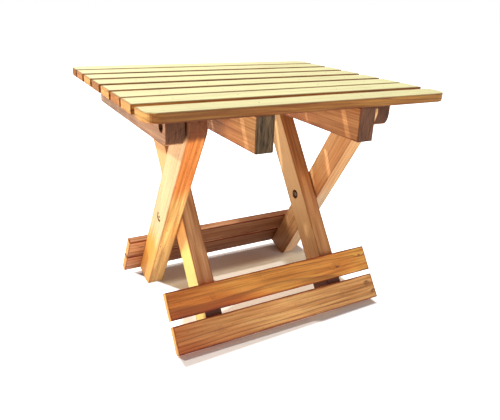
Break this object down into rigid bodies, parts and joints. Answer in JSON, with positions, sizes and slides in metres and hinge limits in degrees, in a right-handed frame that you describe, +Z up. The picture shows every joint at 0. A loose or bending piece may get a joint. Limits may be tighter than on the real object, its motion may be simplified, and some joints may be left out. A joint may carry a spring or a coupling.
{
  "type": "folding stool",
  "caption": "Low folding stool in planed softwood: a slatted rectangular seat on battens over crossed legs tied by pairs of boards, hinged to fold flat.",
  "frame": {"origin": "on the floor under the middle of the open stool's bounding box", "axes": "+X to the sitter's right along the slats, +Y from the front edge of the seat to its rear, +Z up"},
  "size_m": [0.4, 0.3384, 0.315],
  "materials": {
    "slat": "planed softwood, sun-bleached and worn smooth",
    "batten": "planed softwood, aged, with sawn ends",
    "leg": "planed softwood, oiled and aged",
    "board": "planed softwood, oiled and darkened",
    "dowel": "turned softwood, bare",
    "plug": "flush softwood plug, oiled with its board",
    "steel": "plain zinc-plated steel, dulled"
  },
  "bodies": {
    "outer_frame": {"outer_leg_left": "leg", "leg_bolt_left": "steel", "leg_washer_left": "steel", "leg_nut_left": "steel", "seat_bolt_left": "steel", "seat_washer_left": "steel", "seat_nut_left": "steel", "outer_leg_right": "leg", "leg_bolt_right": "steel", "leg_washer_right": "steel", "leg_nut_right": "steel", "seat_bolt_right": "steel", "seat_washer_right": "steel", "seat_nut_right": "steel", "rear_board_lower": "board", "rear_screw_lower_left": "steel", "rear_screw_lower_right": "steel", "rear_plug_lower_left": "plug", "rear_plug_lower_right": "plug", "rear_board_upper": "board", "rear_screw_upper_left": "steel", "rear_screw_upper_right": "steel", "rear_plug_upper_left": "plug", "rear_plug_upper_right": "plug"},
    "seat": {"outer_batten_left": "batten", "inner_batten_left": "batten", "stop_dowel_left": "dowel", "outer_batten_right": "batten", "inner_batten_right": "batten", "stop_dowel_right": "dowel", "slat_1": "slat", "slat_2": "slat", "slat_3": "slat", "slat_4": "slat", "slat_5": "slat", "slat_6": "slat", "slat_7": "slat", "slat_8": "slat"},
    "inner_frame": {"inner_leg_left": "leg", "inner_leg_right": "leg", "front_board_lower": "board", "front_screw_lower_left": "steel", "front_screw_lower_right": "steel", "front_plug_lower_left": "plug", "front_plug_lower_right": "plug", "front_board_upper": "board", "front_screw_upper_left": "steel", "front_screw_upper_right": "steel", "front_plug_upper_left": "plug", "front_plug_upper_right": "plug"}
  },
  "joints": [
    {"name": "seat_fold", "type": "hinge", "parent": "outer_frame", "child": "seat", "pos_m": [0, -0.0957, 0.28345], "axis": [1, 0, 0], "range_deg": [0, 120]},
    {"name": "legs_fold", "type": "hinge", "parent": "outer_frame", "child": "inner_frame", "pos_m": [0, -0.00758, 0.1368], "axis": [1, 0, 0], "range_deg": [0, 66.5]}
  ],
  "couplings": [
    {"joint": "legs_fold", "follows": "seat_fold", "ratio": 0.55}
  ]
}
